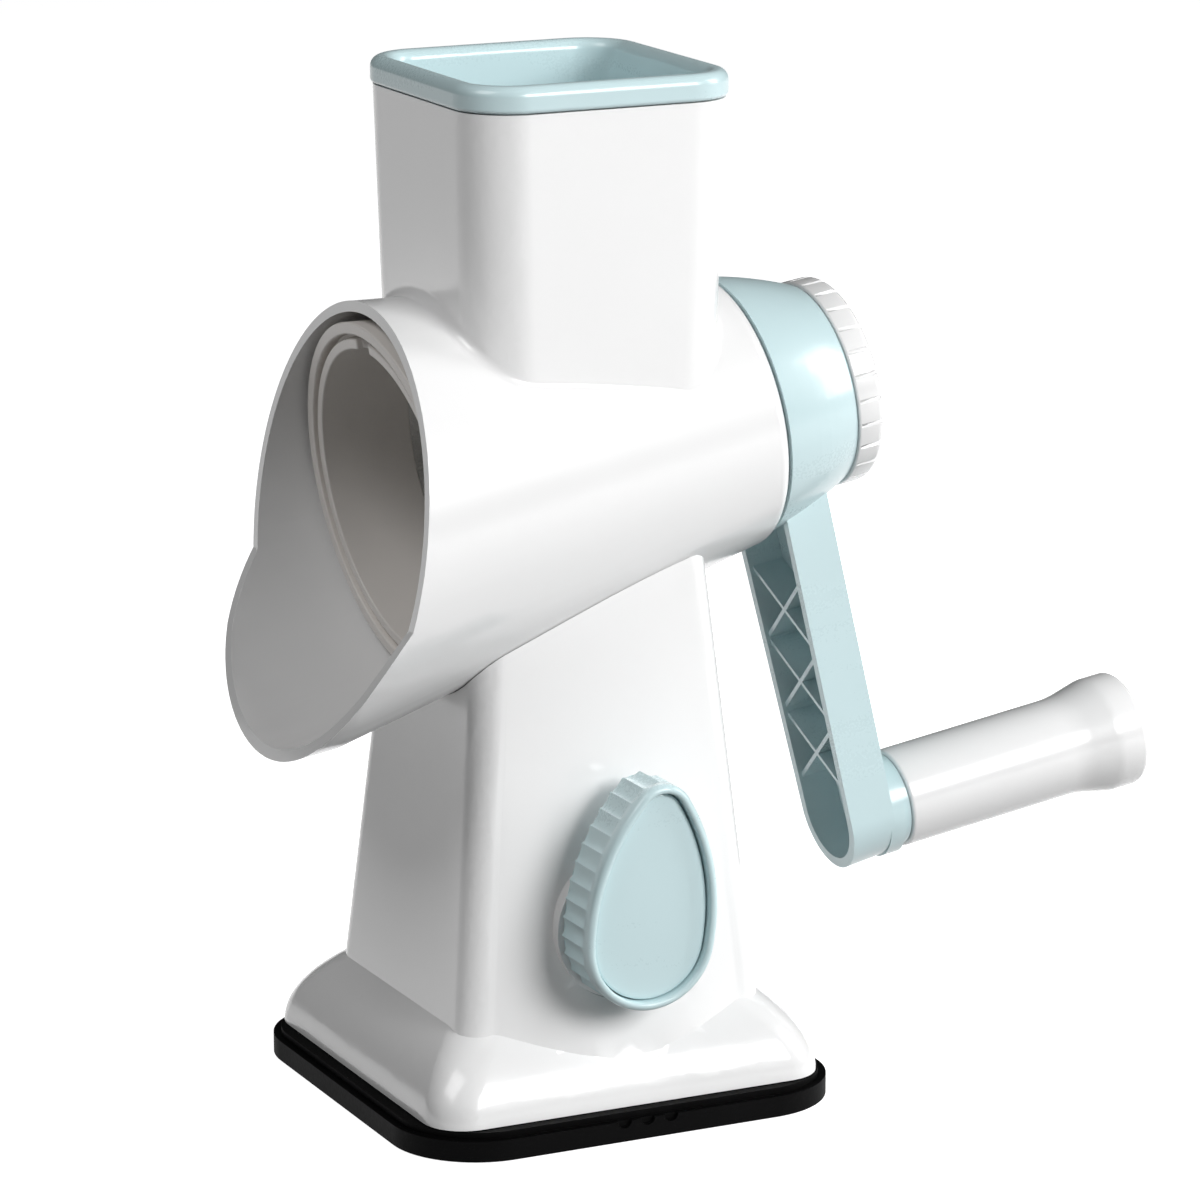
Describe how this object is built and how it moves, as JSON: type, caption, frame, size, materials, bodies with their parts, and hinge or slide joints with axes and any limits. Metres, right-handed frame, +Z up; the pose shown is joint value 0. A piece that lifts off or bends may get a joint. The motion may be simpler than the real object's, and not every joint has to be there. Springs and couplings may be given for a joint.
{
  "type": "rotary cheese grater",
  "caption": "Hand-cranked drum grater with a square hopper and pusher, an inclined barrel with a spout lip, and a stand on a lever-operated suction pad.",
  "frame": {"origin": "middle of the suction pad's underside, on the worktop", "axes": "+Z up; +X along the barrel towards the crank, so the spout is at -X; -Y is the side with the suction lever"},
  "size_m": [0.2679, 0.1318, 0.2855],
  "materials": {
    "white_abs": "glossy white ABS",
    "blue_plastic": "glossy pale blue ABS",
    "drum_plastic": "satin white plastic",
    "white_nylon": "plain nylon",
    "black_rubber": "satin black rubber",
    "stainless": "brushed stainless steel",
    "bright_steel": "bright plated steel",
    "brass": "turned brass"
  },
  "bodies": {
    "stand": {"barrel_housing": "white_abs", "stand_column": "white_abs", "housing_screws": "bright_steel", "suction_pad": "black_rubber", "pad_retainer": "white_nylon", "retainer_screws": "bright_steel", "guide_plate": "white_nylon", "guide_screws": "bright_steel", "shaft_bush": "white_nylon", "bearing_bush": "white_nylon"},
    "suction_stem": {"pull_stem": "white_nylon", "stem_plate": "stainless", "return_spring": "bright_steel"},
    "lever": {"lever_shell": "blue_plastic", "lever_face": "blue_plastic", "lever_screw": "bright_steel", "lever_shaft": "stainless", "lever_cam": "white_nylon", "cam_clips": "bright_steel"},
    "pusher": {"food_pusher": "blue_plastic"},
    "crank": {"crank_arm": "blue_plastic", "drive_shaft": "stainless", "shaft_clip": "bright_steel", "thrust_washer": "white_nylon", "grip_axle": "bright_steel", "grip_washer": "bright_steel"},
    "drum": {"drum_front_ring": "drum_plastic", "drum_grating_sheet": "stainless", "drum_rear_hub": "drum_plastic", "drum_drive_socket": "brass"},
    "lock": {"lock_knob": "white_abs", "lock_nut": "brass"},
    "grip": {"grip_sleeve": "white_abs", "grip_end_cap": "white_abs"}
  },
  "joints": [
    {"name": "crank_spin", "type": "hinge", "parent": "stand", "child": "crank", "pos_m": [0.05925, 0, 0.18603], "axis": [0.9876, 0, 0.1571], "continuous": true},
    {"name": "drum_slide", "type": "slide", "parent": "crank", "child": "drum", "axis": [-0.9876, 0, -0.1571], "range_m": [0, 0.11]},
    {"name": "lock_turn", "type": "hinge", "parent": "crank", "child": "lock", "pos_m": [0.08493, 0, 0.19011], "axis": [0.9876, 0, 0.1571], "range_deg": [-1080, 0]},
    {"name": "grip_spin", "type": "hinge", "parent": "crank", "child": "grip", "pos_m": [0.13789, -0.00802, 0.07365], "axis": [0.9876, 0, 0.1571], "continuous": true},
    {"name": "lever_turn", "type": "hinge", "parent": "stand", "child": "lever", "pos_m": [0, -0.05, 0.056], "axis": [0, 1, 0], "range_deg": [-6, 84]},
    {"name": "stem_lift", "type": "slide", "parent": "stand", "child": "suction_stem", "axis": [0, 0, 1], "range_m": [-0.0003, 0.0038], "deforming": ["return_spring"]},
    {"name": "pusher_lift", "type": "slide", "parent": "stand", "child": "pusher", "axis": [0, 0, 1], "range_m": [0, 0.09]}
  ],
  "couplings": [
    {"joint": "stem_lift", "follows": "lever_turn", "m_per_rad": 0.002548}
  ]
}
